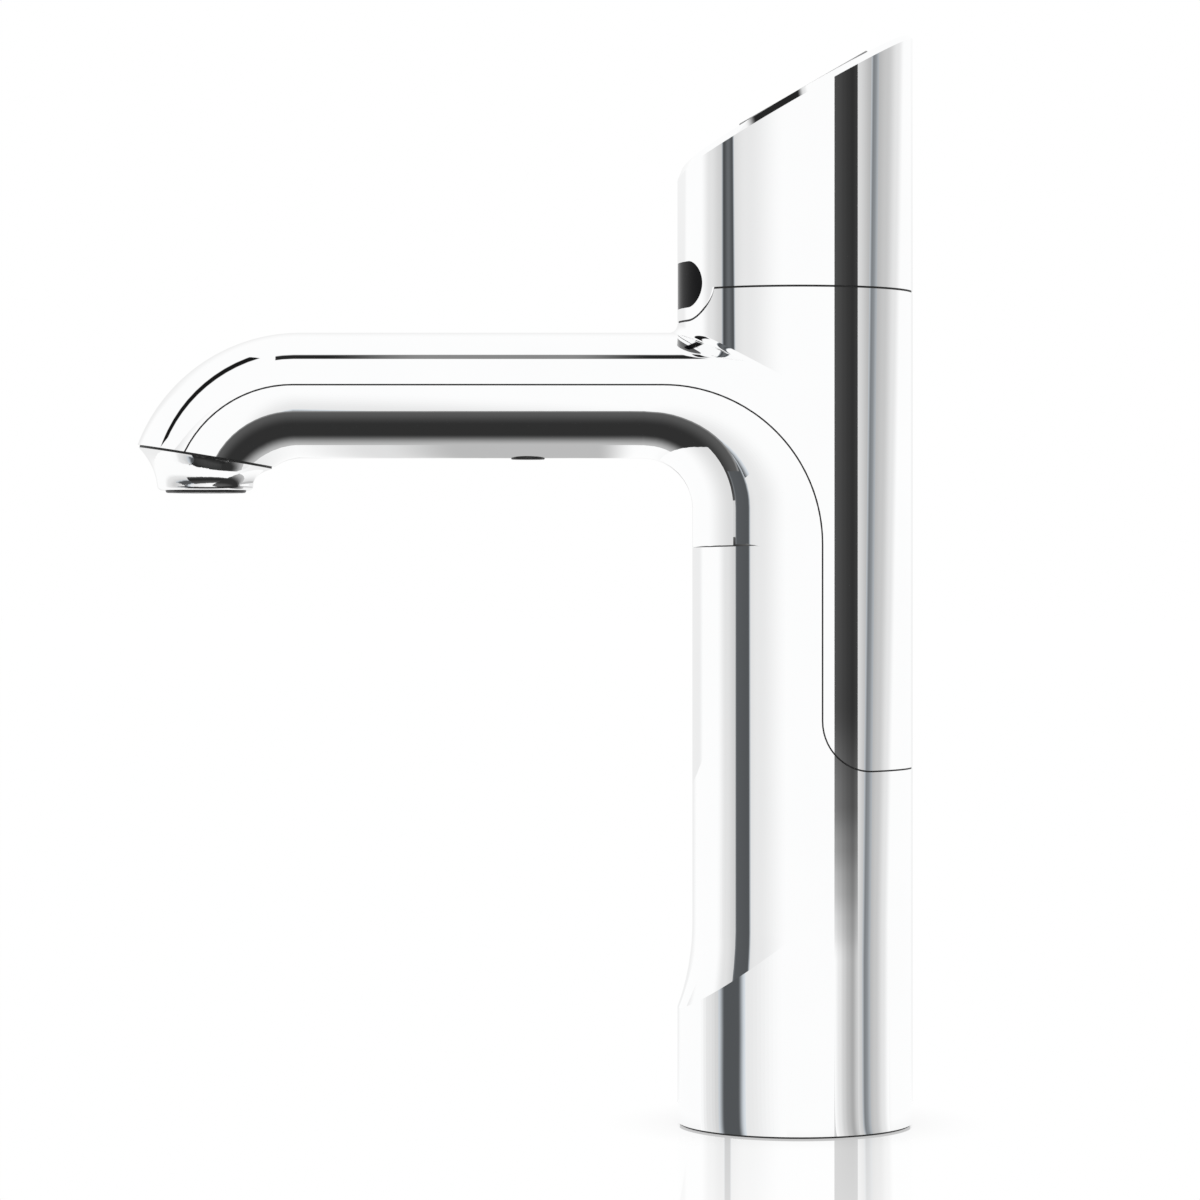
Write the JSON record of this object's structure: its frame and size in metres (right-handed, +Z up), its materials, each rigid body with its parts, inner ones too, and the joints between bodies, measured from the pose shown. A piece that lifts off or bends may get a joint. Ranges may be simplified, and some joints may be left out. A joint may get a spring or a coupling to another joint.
{
  "type": "boiling water tap",
  "caption": "Chrome column tap with a flat oval spout, a slanted control head with half-round push buttons and a dark sensor window, for boiling and chilled water.",
  "frame": {"origin": "on the column axis at the bench surface, midway between the two stud holes", "axes": "+Z up along the column, -X along the spout towards the outlet"},
  "size_m": [0.1976, 0.06, 0.2776],
  "materials": {
    "chrome": "polished plating",
    "seal": "matte",
    "dark_window": "gloss",
    "button": "gloss",
    "black_plastic": "moulded",
    "white_plastic": "moulded",
    "circuit_board": "lacquered",
    "steel": "plain",
    "brass": "machined",
    "copper": "drawn tube",
    "cable_jacket": "smooth"
  },
  "bodies": {
    "tap": {"front_body": "chrome", "rear_shell": "chrome", "head_shell": "chrome", "outlet_nozzle": "chrome", "parting_seal": "seal", "head_gasket": "seal", "base_gasket": "seal", "nozzle_gasket": "seal", "manifold_seal": "seal", "cable_gland": "seal", "sensor_window": "dark_window", "flow_straightener": "black_plastic", "spout_screw_plug": "black_plastic", "sensor_holder": "black_plastic", "boil_switch": "black_plastic", "chill_switch": "black_plastic", "infrared_emitter": "black_plastic", "infrared_receiver": "black_plastic", "board_connector": "white_plastic", "tube_guides": "white_plastic", "spout_guide": "white_plastic", "control_board": "circuit_board", "sensor_board": "circuit_board", "head_screws": "steel", "board_screws": "steel", "base_plate_screws": "steel", "manifold_screws": "steel", "spout_screw": "steel", "base_plate": "brass", "boiling_inlet": "brass", "chilled_inlet": "brass", "outlet_manifold": "brass", "boiling_tube": "copper", "chilled_tube": "copper", "signal_cable": "cable_jacket"},
    "boil_button": {"boil_button": "button", "boil_plunger": "white_plastic"},
    "chill_button": {"chill_button": "button", "chill_plunger": "white_plastic"}
  },
  "joints": [
    {"name": "boil_button_press", "type": "slide", "parent": "tap", "child": "boil_button", "axis": [0.5, 0, -0.866], "range_m": [0, 0.0006], "stiffness_N_per_m": 600},
    {"name": "chill_button_press", "type": "slide", "parent": "tap", "child": "chill_button", "axis": [0.5, 0, -0.866], "range_m": [0, 0.0006], "stiffness_N_per_m": 600}
  ]
}
